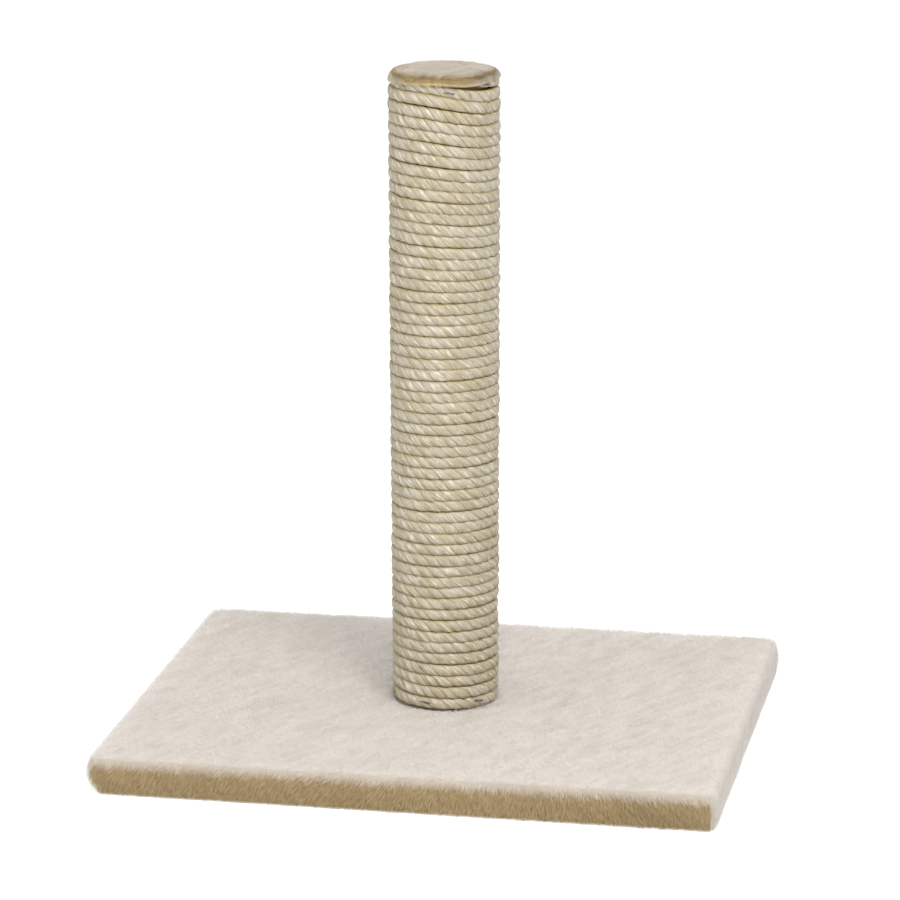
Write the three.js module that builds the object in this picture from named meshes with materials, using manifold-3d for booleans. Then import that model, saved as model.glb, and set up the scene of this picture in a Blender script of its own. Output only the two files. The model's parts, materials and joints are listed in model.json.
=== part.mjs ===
// Cat scratching post: a cardboard tube wound with sisal rope, capped with plush
// and bolted from below to a board that is wrapped in the same plush.
// Millimetres, +Z up. The origin is the middle of the footprint, on the floor.
import * as THREE from "three";
import { mergeVertices } from "three/addons/utils/BufferGeometryUtils.js";
import Module from "manifold-3d";

const wasm = await Module();
wasm.setup();

// ---------------------------------------------------------------- driving dimensions

// Clearance between pieces that touch.
const fitGap = 0.3;

// The board.
const boardWidth = 440;
const boardDepth = 390;
const boardThickness = 22;
const boardCornerRadius = 8;

// The plush cover: its pile stands on the top and sides, and its hem is folded
// under the board, where the pile is crushed.
const plushSideThickness = 4.7;
const plushTopThickness = 3.9;
const plushPressedThickness = 1.2;
const plushEdgeRadius = 6;
const plushFootRadius = 1.5;
const hemThickness = 2;
const hemWidth = 35;

// The staples of the hem. The bite is how far their legs go into the board.
const hemStapleWidth = 10;
const hemStapleWire = 0.7;
const hemStapleBite = 5.9;
const hemStapleFloorGap = 0.2;
const hemStapleFromHemEdge = 11;
const hemStaplesLongSide = 5;
const hemStaplesShortSide = 4;

// The tube and the plugs that close its ends.
const postOffsetX = -4;
const tubeOuterRadius = 32;
const tubeWall = 4;
const tubeLength = 478;
const basePlugHeight = 30;
const topPlugHeight = 28;

// The nails that hold each plug in the tube.
const nailsPerPlug = 3;
const nailLength = 18;
const nailRadius = 0.9;
const nailPointLength = 1.8;
const nailHeadRadius = 2.5;
const nailHeadThickness = 0.9;
const basePlugNailAngle = 10;
const topPlugNailAngle = 35;

// The bolt that holds the post on the board, its washer and its tee nut.
const boltRadius = 4;
const boltHeadSides = 6;
const boltHeadAcrossFlats = 13;
const boltHeadHeight = 5.3;
const boltHeadRecess = 1.2;
const boltStickOut = 3;
const boltTipChamfer = 0.6;
const washerRadius = 12;
const washerThickness = 2;
const counterboreClearance = 2;
const teeNutFlangeRadius = 11;
const teeNutFlangeThickness = 1.5;
const teeNutBarrelWall = 1.2;
const teeNutBarrelLength = 11;
const teeNutProngs = 4;
const teeNutProngSize = 1.6;
const teeNutProngLength = 6;

// The cap: a thin disc screwed on the top plug, under crowned plush.
const capDiscThickness = 2;
const capPlushSideThickness = 3.7;
const capPlushTopThickness = 1.8;
const capEdgeRadius = 3;
const capDimpleRadius = 12;
const capDimpleDepth = 0.8;
const capScrewLength = 24;
const capScrewRadius = 1.8;
const capScrewPointLength = 3.6;
const capScrewHeadRadius = 3.2;
const capScrewHeadHeight = 1.5;

// The rope: one unbroken length, wound from the top end down, clockwise as it
// climbs. Its first and last turns lie level against the cap and the plush and
// then cross over to the next turn, and the turns between lean to one side.
const ropeThickness = 8;
const ropeTurnHeight = 7.55;
const ropeTurnGap = 0.75;
const ropeTopEndAngle = -38;
const ropeCrossoverStart = 0.8;
const ropeLevelFadeTurns = 8;
const ropeLean = 2;
const ropeLeanInTurns = 24;
const ropeLeanOutTurns = 12;
const ropeStepsPerTurn = 13;
const ropeSides = 5;
const ropeLeastGap = 0.4;

// The staples of the rope's first and last turns. The bite is how far their legs
// go into the tube, the tilt is in degrees, and so are their places round the post.
const ropeStapleWidth = 8;
const ropeStapleWire = 1;
const ropeStapleBite = 2;
const ropeStapleTilt = 10;
const topStapleAngles = [-132, -75, -30, 22, 73, 125, 176];
const bottomStapleAngles = [-102, -40, 20, 62, 140, 200];

// Facets of the round pieces.
const tubeFacets = 40;
const capFacets = 36;
const fastenerFacets = 16;
const nailFacets = 8;
const cornerSteps = 5;
const edgeSteps = 4;

// ---------------------------------------------------------------- heights and radii

const boardBottom = hemThickness + fitGap;
const boardTop = boardBottom + boardThickness;
const plushUnderside = boardTop + fitGap;
const plushTop = plushUnderside + plushTopThickness;
const coverWidth = boardWidth + 2 * (fitGap + plushSideThickness);
const coverDepth = boardDepth + 2 * (fitGap + plushSideThickness);
const coverCornerRadius = boardCornerRadius + fitGap + plushSideThickness;
const hemStapleLeg = boardBottom - hemStapleFloorGap + hemStapleBite;
const hemStapleFromEdge = hemWidth - hemStapleFromHemEdge;

const tubeBottom = plushUnderside + plushPressedThickness + fitGap;
const tubeTop = tubeBottom + tubeLength;
const tubeInnerRadius = tubeOuterRadius - tubeWall;
const plugRadius = tubeInnerRadius - fitGap;
const basePlugTop = tubeBottom + basePlugHeight;
const topPlugBottom = tubeTop - topPlugHeight;

const boltHeadBottom = boardBottom + boltHeadRecess;
const boltHeadTop = boltHeadBottom + boltHeadHeight;
const washerBottom = boltHeadTop + fitGap;
const counterboreTop = washerBottom + washerThickness + fitGap;
const counterboreRadius = washerRadius + counterboreClearance;
const boltHoleRadius = boltRadius + fitGap;
const teeNutBarrelRadius = boltHoleRadius + teeNutBarrelWall;
const teeNutFlangeBottom = basePlugTop + fitGap;
const teeNutTop = teeNutFlangeBottom + teeNutFlangeThickness;
const teeNutProngRadius = teeNutFlangeRadius - teeNutProngSize;

const postRadius = tubeOuterRadius + ropeThickness;
const ropeStapleLeg = ropeThickness + ropeStapleBite;
const capDiscBottom = tubeTop + fitGap;
const capDiscTop = capDiscBottom + capDiscThickness;
const capDiscRadius = postRadius - capPlushSideThickness - fitGap;
const capPlushUnderside = capDiscTop + fitGap;
const capTop = capPlushUnderside + capPlushTopThickness;

const ropePitch = ropeTurnHeight + ropeTurnGap;
const ropeTopCentre = tubeTop - fitGap - ropeTurnHeight / 2;
const ropeBottomCentre = plushTop + fitGap + ropeTurnHeight / 2;
const ropeTurns = (ropeTopCentre - ropeBottomCentre) / ropePitch;
// The rope's facets are chords, so its inner corners stand off for their middles
// to clear the tube.
const ropeInnerRadius = (tubeOuterRadius + fitGap) / Math.cos(Math.PI / ropeStepsPerTurn);

const degrees = THREE.MathUtils.degToRad;

// ---------------------------------------------------------------- shape helpers

// A closed geometry as a solid that faces outwards.
function solidOf(geometry) {
  const bare = new THREE.BufferGeometry();
  bare.setAttribute("position", geometry.getAttribute("position"));
  bare.setIndex(geometry.index);
  const merged = mergeVertices(bare);
  const corners = Array.from(merged.index.array);
  const triangles = [];
  for (let i = 0; i < corners.length; i += 3) {
    const [a, b, c] = corners.slice(i, i + 3);
    if (a !== b && b !== c && c !== a) triangles.push(a, b, c);
  }
  const build = (triVerts) =>
    new wasm.Manifold(
      new wasm.Mesh({
        numProp: 3,
        vertProperties: merged.attributes.position.array,
        triVerts: new Uint32Array(triVerts),
      }),
    );
  const solid = build(triangles);
  return solid.volume() > 0 ? solid : build(triangles.reverse());
}

// A solid as a geometry with flat facets.
function geometryOf(solid) {
  const mesh = solid.getMesh();
  const indexed = new THREE.BufferGeometry();
  indexed.setAttribute("position", new THREE.BufferAttribute(mesh.vertProperties, 3));
  indexed.setIndex(new THREE.BufferAttribute(mesh.triVerts, 1));
  const geometry = indexed.toNonIndexed();
  geometry.computeVertexNormals();
  return geometry;
}

// A profile of [radius, height] points turned about the Z axis.
function turned(profile, facets) {
  const points = profile.map(([radius, height]) => new THREE.Vector2(radius, height));
  return solidOf(new THREE.LatheGeometry(points, facets).rotateX(Math.PI / 2));
}

function cylinder(radius, bottom, top, facets) {
  return turned([[0, bottom], [radius, bottom], [radius, top], [0, top]], facets);
}

function box(width, depth, height, centre) {
  const geometry = new THREE.BoxGeometry(width, depth, height);
  return solidOf(geometry.translate(centre.x, centre.y, centre.z));
}

// Rings of as many points each, joined side by side and closed at both ends.
function lofted(rings) {
  const points = rings.flat();
  const count = rings[0].length;
  const last = (rings.length - 1) * count;
  const triangles = [];
  for (let ring = 0; ring < rings.length - 1; ring++) {
    for (let i = 0; i < count; i++) {
      const a = ring * count + i;
      const b = ring * count + ((i + 1) % count);
      triangles.push(a, b, b + count, a, b + count, a + count);
    }
  }
  for (let i = 1; i < count - 1; i++) {
    triangles.push(0, i + 1, i, last, last + i, last + i + 1);
  }
  const geometry = new THREE.BufferGeometry().setFromPoints(points);
  geometry.setIndex(triangles);
  return solidOf(geometry);
}

// A rectangle with rounded corners, at one height, drawn in by an inset.
function roundedOutline(width, depth, cornerRadius, inset, height) {
  const radius = Math.max(cornerRadius - inset, fitGap);
  const reachX = width / 2 - inset - radius;
  const reachY = depth / 2 - inset - radius;
  const points = [];
  for (let corner = 0; corner < 4; corner++) {
    const signX = corner === 0 || corner === 3 ? 1 : -1;
    const signY = corner < 2 ? 1 : -1;
    for (let step = 0; step <= cornerSteps; step++) {
      const angle = ((corner + step / cornerSteps) * Math.PI) / 2;
      const x = signX * reachX + radius * Math.cos(angle);
      const y = signY * reachY + radius * Math.sin(angle);
      points.push(new THREE.Vector3(x, y, height));
    }
  }
  return points;
}

// A slab with rounded corners and one straight edge all round.
function slab(width, depth, cornerRadius, bottom, top) {
  return lofted([bottom, top].map((z) => roundedOutline(width, depth, cornerRadius, 0, z)));
}

// A rounded edge as [inset, height] points, from the side up to a flat face.
function roundedEdge(radius, faceHeight, direction) {
  const points = [];
  for (let step = 0; step <= edgeSteps; step++) {
    const angle = ((step / edgeSteps) * Math.PI) / 2;
    const inset = radius * (1 - Math.cos(angle));
    points.push([inset, faceHeight - direction * radius * (1 - Math.sin(angle))]);
  }
  return points;
}

// A wire staple lying along X with its legs towards +Y, both ends cut square.
// The margin thickens the wire all round, for the channel that the staple needs.
function staple(width, wire, leg, margin) {
  const outerX = width / 2 + margin;
  const innerX = width / 2 - wire - margin;
  const shape = new THREE.Shape();
  shape.moveTo(-outerX, -margin);
  shape.lineTo(outerX, -margin);
  shape.lineTo(outerX, leg + margin);
  shape.lineTo(innerX, leg + margin);
  shape.lineTo(innerX, wire + margin);
  shape.lineTo(-innerX, wire + margin);
  shape.lineTo(-innerX, leg + margin);
  shape.lineTo(-outerX, leg + margin);
  shape.closePath();
  const depth = wire + 2 * margin;
  const geometry = new THREE.ExtrudeGeometry(shape, { depth, bevelEnabled: false });
  return geometry.translate(0, 0, -depth / 2);
}

function placed(geometry, matrix) {
  return solidOf(geometry.clone().applyMatrix4(matrix));
}

function subtractAll(solid, cutters) {
  return cutters.reduce((left, cutter) => left.subtract(cutter), solid);
}

// Where something that is made along +Y goes into the post at an angle.
function radialPlace(angle, radius, height, tilt) {
  const place = new THREE.Matrix4();
  place.makeTranslation(radius * Math.cos(angle), radius * Math.sin(angle), height);
  place.multiply(new THREE.Matrix4().makeRotationZ(angle + Math.PI / 2));
  place.multiply(new THREE.Matrix4().makeRotationY(tilt));
  return place;
}

// ---------------------------------------------------------------- materials

const finishes = {
  plush: { color: 0xd9cfc4, roughness: 0.95, metalness: 0 },
  sisal: { color: 0xbfb48f, roughness: 0.85, metalness: 0 },
  chipboard: { color: 0xb9935f, roughness: 0.85, metalness: 0 },
  cardboard: { color: 0xa98a62, roughness: 0.9, metalness: 0 },
  softwood: { color: 0xd2b07a, roughness: 0.75, metalness: 0 },
  hardboard: { color: 0x7d5a3a, roughness: 0.8, metalness: 0 },
  zincSteel: { color: 0xb9bcc0, roughness: 0.35, metalness: 1 },
  stapleWire: { color: 0x8f9499, roughness: 0.45, metalness: 1 },
};

function named(name, shape, finish) {
  const geometry = shape instanceof THREE.BufferGeometry ? shape : geometryOf(shape);
  const mesh = new THREE.Mesh(geometry, new THREE.MeshStandardMaterial(finishes[finish]));
  mesh.name = name;
  return mesh;
}

function placedMesh(name, geometry, matrix, finish) {
  const mesh = named(name, geometry, finish);
  mesh.applyMatrix4(matrix);
  return mesh;
}

// ---------------------------------------------------------------- the base

// Where each hem staple goes: its crown lies along the edge, its legs point up.
function hemStaplePlaces() {
  const upright = new THREE.Matrix4().makeRotationX(Math.PI / 2);
  const sides = [
    ["front", -90, boardDepth, boardWidth, hemStaplesLongSide],
    ["back", 90, boardDepth, boardWidth, hemStaplesLongSide],
    ["left", 180, boardWidth, boardDepth, hemStaplesShortSide],
    ["right", 0, boardWidth, boardDepth, hemStaplesShortSide],
  ];
  const places = [];
  for (const [side, facing, across, along, count] of sides) {
    const reach = across / 2 - hemStapleFromEdge;
    for (let i = 0; i < count; i++) {
      const offset = ((i + 0.5) / count - 0.5) * along;
      const place = new THREE.Matrix4().makeRotationZ(degrees(facing + 90));
      place.multiply(new THREE.Matrix4().makeTranslation(offset, -reach, hemStapleFloorGap));
      places.push([`hem_staple_${side}_${i + 1}`, place.multiply(upright)]);
    }
  }
  return places;
}

function boardSolid(stapleChannels) {
  const blank = slab(boardWidth, boardDepth, boardCornerRadius, boardBottom, boardTop);
  const hole = cylinder(boltHoleRadius, -fitGap, boardTop + fitGap, fastenerFacets);
  const counterbore = cylinder(counterboreRadius, -fitGap, counterboreTop, 2 * fastenerFacets);
  const bore = hole.add(counterbore).translate([postOffsetX, 0, 0]);
  return subtractAll(blank, [bore, ...stapleChannels]);
}

function coverSolid(stapleChannels) {
  const profile = [
    ...roundedEdge(plushFootRadius, 0, -1).reverse(),
    ...roundedEdge(plushEdgeRadius, plushTop, 1),
  ];
  const outside = lofted(
    profile.map(([inset, z]) =>
      roundedOutline(coverWidth, coverDepth, coverCornerRadius, inset, z),
    ),
  );
  const pocket = slab(
    boardWidth + 2 * fitGap,
    boardDepth + 2 * fitGap,
    boardCornerRadius + fitGap,
    hemThickness,
    plushUnderside,
  );
  const mouth = slab(
    boardWidth - 2 * hemWidth,
    boardDepth - 2 * hemWidth,
    boardCornerRadius,
    -fitGap,
    boardBottom,
  );
  const seat = cylinder(
    tubeOuterRadius + fitGap,
    plushUnderside + plushPressedThickness,
    plushTop + fitGap,
    tubeFacets,
  );
  const boltHole = cylinder(boltHoleRadius, boardTop, plushTop, fastenerFacets);
  const underPost = seat.add(boltHole).translate([postOffsetX, 0, 0]);
  return subtractAll(outside, [pocket, mouth, underPost, ...stapleChannels]);
}

function makeBase() {
  const group = new THREE.Group();
  const wire = staple(hemStapleWidth, hemStapleWire, hemStapleLeg, 0);
  const channel = staple(hemStapleWidth, hemStapleWire, hemStapleLeg, fitGap);
  const places = hemStaplePlaces();
  const channels = places.map(([, place]) => placed(channel, place));
  group.add(named("base_board", boardSolid(channels), "chipboard"));
  group.add(named("base_plush", coverSolid(channels), "plush"));
  for (const [name, place] of places) {
    group.add(placedMesh(name, wire, place, "stapleWire"));
  }
  return group;
}

// ---------------------------------------------------------------- bolt, washer, tee nut

function boltSolid() {
  const headRadius = boltHeadAcrossFlats / 2 / Math.cos(Math.PI / boltHeadSides);
  const head = cylinder(headRadius, boltHeadBottom, boltHeadTop, boltHeadSides);
  const shankTop = teeNutTop + boltStickOut;
  const shank = turned(
    [
      [0, boltHeadTop - fitGap],
      [boltRadius, boltHeadTop - fitGap],
      [boltRadius, shankTop - boltTipChamfer],
      [boltRadius - boltTipChamfer, shankTop],
      [0, shankTop],
    ],
    fastenerFacets,
  );
  return head.add(shank);
}

function washerSolid() {
  const top = washerBottom + washerThickness;
  return turned(
    [
      [boltHoleRadius, washerBottom],
      [washerRadius, washerBottom],
      [washerRadius, top],
      [boltHoleRadius, top],
      [boltHoleRadius, washerBottom],
    ],
    2 * fastenerFacets,
  );
}

// The prongs bite down into the plug; the margin widens them for their pockets.
function teeNutProngSolids(margin) {
  const prongs = [];
  const size = teeNutProngSize + 2 * margin;
  const bottom = teeNutFlangeBottom - teeNutProngLength - margin;
  const height = teeNutTop - bottom - fitGap;
  for (let i = 0; i < teeNutProngs; i++) {
    const centre = new THREE.Vector3(teeNutProngRadius, 0, bottom + height / 2);
    const turn = (360 / teeNutProngs) * i;
    prongs.push(box(size, size, height, centre).rotate([0, 0, turn]));
  }
  return prongs;
}

function teeNutSolid() {
  const barrelBottom = teeNutFlangeBottom - teeNutBarrelLength;
  const body = turned(
    [
      [boltHoleRadius, barrelBottom],
      [teeNutBarrelRadius, barrelBottom],
      [teeNutBarrelRadius, teeNutFlangeBottom],
      [teeNutFlangeRadius, teeNutFlangeBottom],
      [teeNutFlangeRadius, teeNutTop],
      [boltHoleRadius, teeNutTop],
      [boltHoleRadius, barrelBottom],
    ],
    fastenerFacets,
  );
  return teeNutProngSolids(0).reduce((left, prong) => left.add(prong), body);
}

// ---------------------------------------------------------------- tube, plugs and nails

function nailGeometry(margin) {
  const headRadius = nailHeadRadius + margin;
  const radius = nailRadius + margin;
  const profile = [
    [0, -margin],
    [headRadius, -margin],
    [headRadius, nailHeadThickness + margin],
    [radius, nailHeadThickness + margin],
    [radius, nailLength - nailPointLength],
    [0, nailLength + margin],
  ];
  const points = profile.map(([r, along]) => new THREE.Vector2(r, along));
  return new THREE.LatheGeometry(points, nailFacets);
}

// Each nail goes in flush with the tube's face, halfway up its plug.
function nailPlaces(plugName, firstAngle, height) {
  const places = [];
  for (let i = 0; i < nailsPerPlug; i++) {
    const angle = degrees(firstAngle + (360 / nailsPerPlug) * i);
    const flush = tubeOuterRadius * Math.cos(Math.PI / tubeFacets);
    places.push([`${plugName}_nail_${i + 1}`, radialPlace(angle, flush, height, 0)]);
  }
  return places;
}

function tubeSolid(cutters) {
  const wall = turned(
    [
      [tubeInnerRadius, tubeBottom],
      [tubeOuterRadius, tubeBottom],
      [tubeOuterRadius, tubeTop],
      [tubeInnerRadius, tubeTop],
      [tubeInnerRadius, tubeBottom],
    ],
    tubeFacets,
  );
  return subtractAll(wall, cutters);
}

// The plug's facets line up with the tube's, so the gap between them is even.
function basePlugSolid(cutters) {
  const blank = cylinder(plugRadius, tubeBottom, basePlugTop, tubeFacets);
  const bore = cylinder(boltHoleRadius, tubeBottom - fitGap, basePlugTop + fitGap, fastenerFacets);
  const barrelPocket = cylinder(
    teeNutBarrelRadius + fitGap,
    teeNutFlangeBottom - teeNutBarrelLength - fitGap,
    basePlugTop + fitGap,
    fastenerFacets,
  );
  return subtractAll(blank, [bore, barrelPocket, ...teeNutProngSolids(fitGap), ...cutters]);
}

function topPlugSolid(cutters) {
  const blank = cylinder(plugRadius, topPlugBottom, tubeTop, tubeFacets);
  return subtractAll(blank, [capScrewSolid(fitGap), ...cutters]);
}

// ---------------------------------------------------------------- the cap

// A countersunk screw, flush with the disc; the margin widens it for its hole.
function capScrewSolid(margin) {
  const tip = capDiscTop - capScrewLength;
  const shank = capScrewRadius + margin;
  const profile = [
    [0, tip - margin],
    [shank, tip + capScrewPointLength],
    [shank, capDiscTop - capScrewHeadHeight - margin],
    [capScrewHeadRadius + margin, capDiscTop],
  ];
  if (margin > 0) profile.push([capScrewHeadRadius + margin, capDiscTop + margin]);
  profile.push([0, capDiscTop + margin]);
  return turned(profile, fastenerFacets);
}

function capDiscSolid() {
  const blank = cylinder(capDiscRadius, capDiscBottom, capDiscTop, capFacets);
  return blank.subtract(capScrewSolid(fitGap));
}

// The cap's plush is crowned, with a soft hollow in its middle, and its skirt
// comes down over the disc's edge to the rope's first turn.
function capPlushSolid() {
  const rimHeight = capTop - capEdgeRadius;
  const profile = [
    [0, capPlushUnderside],
    [capDiscRadius + fitGap, capPlushUnderside],
    [capDiscRadius + fitGap, tubeTop],
    [postRadius, tubeTop],
  ];
  for (let step = 0; step <= edgeSteps; step++) {
    const angle = ((step / edgeSteps) * Math.PI) / 2;
    const radius = postRadius - capEdgeRadius * (1 - Math.cos(angle));
    profile.push([radius, rimHeight + capEdgeRadius * Math.sin(angle)]);
  }
  for (let step = 0; step <= edgeSteps; step++) {
    const share = step / edgeSteps;
    const hollow = capDimpleDepth * THREE.MathUtils.smoothstep(share, 0, 1);
    profile.push([capDimpleRadius * (1 - share), capTop - hollow]);
  }
  return turned(profile, capFacets);
}

// ---------------------------------------------------------------- the rope

function ropeAngle(turns) {
  return degrees(ropeTopEndAngle + 360 * turns);
}

// How much of a pitch an end turn has held back to lie level: it grows along the
// turn, drops at the crossover, and fades from turn to turn.
function heldBack(turns) {
  const share = turns - Math.floor(turns);
  const crossed = THREE.MathUtils.smoothstep(share, ropeCrossoverStart, 1);
  return (share - crossed) * Math.exp(-turns / ropeLevelFadeTurns);
}

// The height of the rope's middle line, this many turns from its top end.
function ropeHeight(turns) {
  const left = ropeTurns - turns;
  const level = heldBack(turns) - heldBack(left);
  const leanIn = THREE.MathUtils.smoothstep(turns, 0, ropeLeanInTurns);
  const leanOut = THREE.MathUtils.smoothstep(left, 0, ropeLeanOutTurns);
  const lean = ropeLean * leanIn * leanOut * Math.cos(ropeAngle(turns));
  return ropeTopCentre - ropePitch * (turns - level) + lean;
}

// The rope's section has one ridge outwards and a flat side on the tube.
function ropeRing(turns) {
  const flat = Math.cos(Math.PI / ropeSides);
  const depth = (postRadius - ropeInnerRadius) / (1 + flat);
  const tallest = Math.sin((Math.round(ropeSides / 4) * 2 * Math.PI) / ropeSides);
  const rise = ropeTurnHeight / 2 / tallest;
  const angle = ropeAngle(turns);
  const height = ropeHeight(turns);
  const ring = [];
  for (let side = 0; side < ropeSides; side++) {
    const round = (side * 2 * Math.PI) / ropeSides;
    const radius = postRadius - depth * (1 - Math.cos(round));
    const x = radius * Math.cos(angle);
    const y = radius * Math.sin(angle);
    ring.push(new THREE.Vector3(x, y, height + rise * Math.sin(round)));
  }
  return ring;
}

// The least gap between a ring's points and the edges of the turn below it.
function leastGap(rings) {
  const nearest = new THREE.Vector3();
  const edge = new THREE.Line3();
  let least = Infinity;
  for (let i = 0; i + ropeStepsPerTurn < rings.length; i++) {
    const first = Math.max(i + ropeStepsPerTurn - 2, 0);
    const last = Math.min(i + ropeStepsPerTurn + 2, rings.length - 1);
    for (let below = first; below < last; below++) {
      for (let side = 0; side < ropeSides; side++) {
        edge.set(rings[below][side], rings[below + 1][side]);
        for (const point of rings[i]) {
          edge.closestPointToPoint(point, true, nearest);
          least = Math.min(least, nearest.distanceTo(point));
        }
      }
    }
  }
  return least;
}

function ropeSolid(stapleChannels) {
  const rings = [];
  const steps = Math.round(ropeTurns * ropeStepsPerTurn);
  for (let step = 0; step <= steps; step++) {
    rings.push(ropeRing(Math.min(step / ropeStepsPerTurn, ropeTurns)));
  }
  const gap = leastGap(rings);
  console.log(`rope: ${ropeTurns.toFixed(1)} turns, least gap to itself ${gap.toFixed(2)} mm`);
  if (gap < ropeLeastGap) throw new Error("the rope's turns lie too close together");
  return subtractAll(lofted(rings), stapleChannels);
}

// Each staple straddles the middle of the first or last turn, its crown flush
// with the ridge there.
function ropeStaplePlaces(row, angles, turnsAt) {
  return angles.map((angle, i) => {
    const turns = turnsAt(angle);
    const place = radialPlace(
      degrees(angle),
      postRadius,
      ropeHeight(turns),
      degrees(ropeStapleTilt),
    );
    return [`rope_staple_${row}_${i + 1}`, place];
  });
}

function turnsBelowTopEnd(angle) {
  return THREE.MathUtils.euclideanModulo((angle - ropeTopEndAngle) / 360, 1);
}

function turnsAboveBottomEnd(angle) {
  const bottomEndAngle = ropeTopEndAngle + 360 * ropeTurns;
  const share = THREE.MathUtils.euclideanModulo((bottomEndAngle - angle) / 360, 1);
  return ropeTurns - share;
}

// ---------------------------------------------------------------- the post

function makePost() {
  const group = new THREE.Group();
  group.position.x = postOffsetX;

  const ropeStaples = [
    ...ropeStaplePlaces("top", topStapleAngles, turnsBelowTopEnd),
    ...ropeStaplePlaces("bottom", bottomStapleAngles, turnsAboveBottomEnd),
  ];
  const stapleWire = staple(ropeStapleWidth, ropeStapleWire, ropeStapleLeg, 0);
  const stapleChannel = staple(ropeStapleWidth, ropeStapleWire, ropeStapleLeg, fitGap);
  const stapleChannels = ropeStaples.map(([, place]) => placed(stapleChannel, place));

  const basePlugMiddle = tubeBottom + basePlugHeight / 2;
  const topPlugMiddle = tubeTop - topPlugHeight / 2;
  const baseNails = nailPlaces("base_plug", basePlugNailAngle, basePlugMiddle);
  const topNails = nailPlaces("top_plug", topPlugNailAngle, topPlugMiddle);
  const nail = nailGeometry(0);
  const nailHole = nailGeometry(fitGap);
  const baseNailHoles = baseNails.map(([, place]) => placed(nailHole, place));
  const topNailHoles = topNails.map(([, place]) => placed(nailHole, place));

  const tubeCutters = [...stapleChannels, ...baseNailHoles, ...topNailHoles];
  group.add(named("post_tube", tubeSolid(tubeCutters), "cardboard"));
  group.add(named("base_plug", basePlugSolid(baseNailHoles), "softwood"));
  group.add(named("top_plug", topPlugSolid(topNailHoles), "softwood"));
  group.add(named("tee_nut", teeNutSolid(), "zincSteel"));
  group.add(named("post_bolt", boltSolid(), "zincSteel"));
  group.add(named("bolt_washer", washerSolid(), "zincSteel"));
  group.add(named("sisal_rope", ropeSolid(stapleChannels), "sisal"));
  group.add(named("top_disc", capDiscSolid(), "hardboard"));
  group.add(named("top_plush", capPlushSolid(), "plush"));
  group.add(named("top_disc_screw", capScrewSolid(0), "zincSteel"));
  for (const [name, place] of [...baseNails, ...topNails]) {
    group.add(placedMesh(name, geometryOf(solidOf(nail)), place, "zincSteel"));
  }
  for (const [name, place] of ropeStaples) {
    group.add(placedMesh(name, stapleWire, place, "stapleWire"));
  }
  return group;
}

const scratchingPost = new THREE.Group();
scratchingPost.add(makeBase(), makePost());

export default scratchingPost;
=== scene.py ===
"""Cat scratching post: sisal winding, plush cover and cap, finishes and stage.

Every length is in metres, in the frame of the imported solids: X to the right,
Y to the back, Z up, the floor at zero.
"""

import json
import math

import bpy
import numpy as np
from bpy.props import FloatProperty, FloatVectorProperty, IntProperty, PointerProperty
from bpy.types import Operator, Panel, PropertyGroup
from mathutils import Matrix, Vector
from numpy.random import default_rng


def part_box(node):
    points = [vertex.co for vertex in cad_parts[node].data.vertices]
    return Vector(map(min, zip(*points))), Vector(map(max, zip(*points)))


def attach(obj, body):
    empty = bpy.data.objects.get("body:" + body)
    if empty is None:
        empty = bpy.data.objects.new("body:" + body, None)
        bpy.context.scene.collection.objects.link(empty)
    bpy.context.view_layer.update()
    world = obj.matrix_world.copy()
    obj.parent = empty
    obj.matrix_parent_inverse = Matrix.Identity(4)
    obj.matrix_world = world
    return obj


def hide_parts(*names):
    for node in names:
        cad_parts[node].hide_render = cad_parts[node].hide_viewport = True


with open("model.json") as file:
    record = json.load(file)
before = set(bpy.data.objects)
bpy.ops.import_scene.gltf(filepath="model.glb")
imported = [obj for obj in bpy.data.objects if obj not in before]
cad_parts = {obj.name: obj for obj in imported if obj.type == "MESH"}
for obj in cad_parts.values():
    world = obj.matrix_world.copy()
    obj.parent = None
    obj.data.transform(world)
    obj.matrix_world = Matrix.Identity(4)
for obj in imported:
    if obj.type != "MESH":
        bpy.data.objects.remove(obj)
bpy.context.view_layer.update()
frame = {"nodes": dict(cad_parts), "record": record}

bl_info = {
    "name": "Cat Scratching Post",
    "version": (1, 0, 0),
    "blender": (4, 5, 0),
    "location": "View3D > Sidebar > Scratching Post",
    "description": "Winds the sisal, lays the plush and gives every part its finish",
    "category": "Object",
}

TUBE_LOW, TUBE_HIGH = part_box("post_tube")
ROPE_LOW, ROPE_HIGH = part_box("sisal_rope")
BASE_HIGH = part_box("base_plush")[1]
BOARD_LOW, BOARD_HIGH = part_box("base_board")
CAP_LOW, CAP_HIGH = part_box("top_plush")
DISC_LOW, DISC_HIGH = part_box("top_disc")

POST_X = (TUBE_LOW.x + TUBE_HIGH.x) / 2
TUBE_RADIUS = (TUBE_HIGH.x - TUBE_LOW.x) / 2
CAP_RADIUS = (CAP_HIGH.x - CAP_LOW.x) / 2
DISC_RADIUS = (DISC_HIGH.x - DISC_LOW.x) / 2

# The rope's middle line: the drop of a turn, half the height of one turn's solid, its two ends,
# its distance from the axis and how much that grows to the top, and the post's lean.
ROPE_PITCH = 0.0083
HALF_TURN = 0.003775
ROPE_TOP = ROPE_HIGH.z - HALF_TURN
ROPE_BOTTOM = ROPE_LOW.z + HALF_TURN
ROPE_TURNS = (ROPE_TOP - ROPE_BOTTOM) / ROPE_PITCH
ROPE_TOP_ANGLE = math.radians(-38)
ROPE_MIDDLE = TUBE_RADIUS + 0.0041
ROPE_SPREAD = 0.0013
POST_LEAN = 0.0010

# Under a staple: the dent's length and width, and how far the rope then stands off the tube.
ROPE_STAPLES = [name for name in frame["nodes"] if name.startswith("rope_staple")]
DENT_SIZE = (0.0052, 0.0016)
DENT_REACH = 0.0073

# Loose hairs: the radius of the turns that they run along, and the heights they stay between.
HAIR_RADIUS = 0.0402
HAIR_HEIGHTS = (0.0290, 0.5020)

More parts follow.
